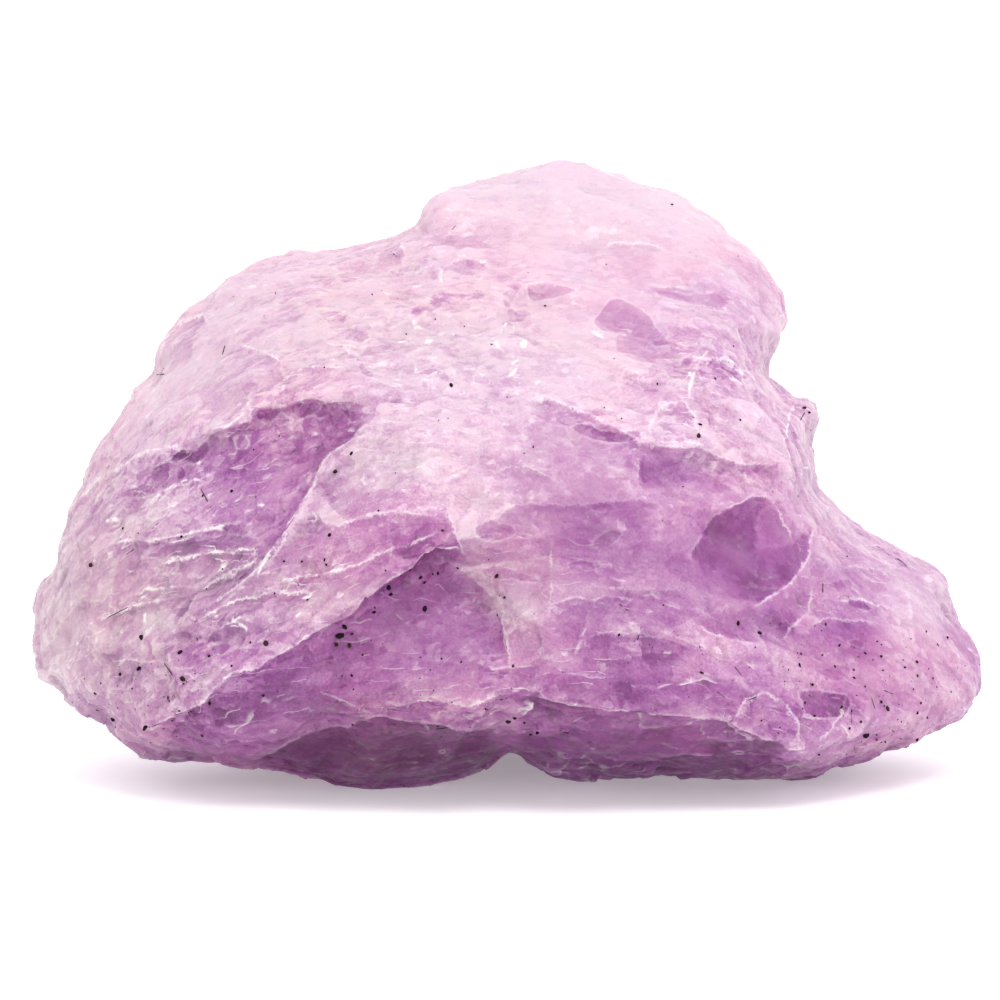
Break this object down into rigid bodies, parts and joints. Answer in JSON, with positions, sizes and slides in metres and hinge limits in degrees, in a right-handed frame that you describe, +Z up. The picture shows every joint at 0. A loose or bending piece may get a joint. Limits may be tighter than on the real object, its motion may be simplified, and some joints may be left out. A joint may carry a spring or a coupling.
{
  "type": "kunzite crystal",
  "caption": "Rough lump of pink-lilac kunzite, a broken gemstone specimen with stepped cleavage faces, ledges and shallow chips, which rests on flats worn on its underside.",
  "frame": {"origin": "centre of the bounding box in X and Y, at the height of the flats it rests on", "axes": "+X along its length towards the low tail, -Y out of the ledged front, +Z up from the flats"},
  "size_m": [0.0594, 0.0352, 0.0372],
  "materials": {
    "kunzite": "milky translucent, waxy to glassy on fresh cleavage faces"
  },
  "bodies": {
    "root": {"kunzite_lump": "kunzite"}
  },
  "joints": []
}
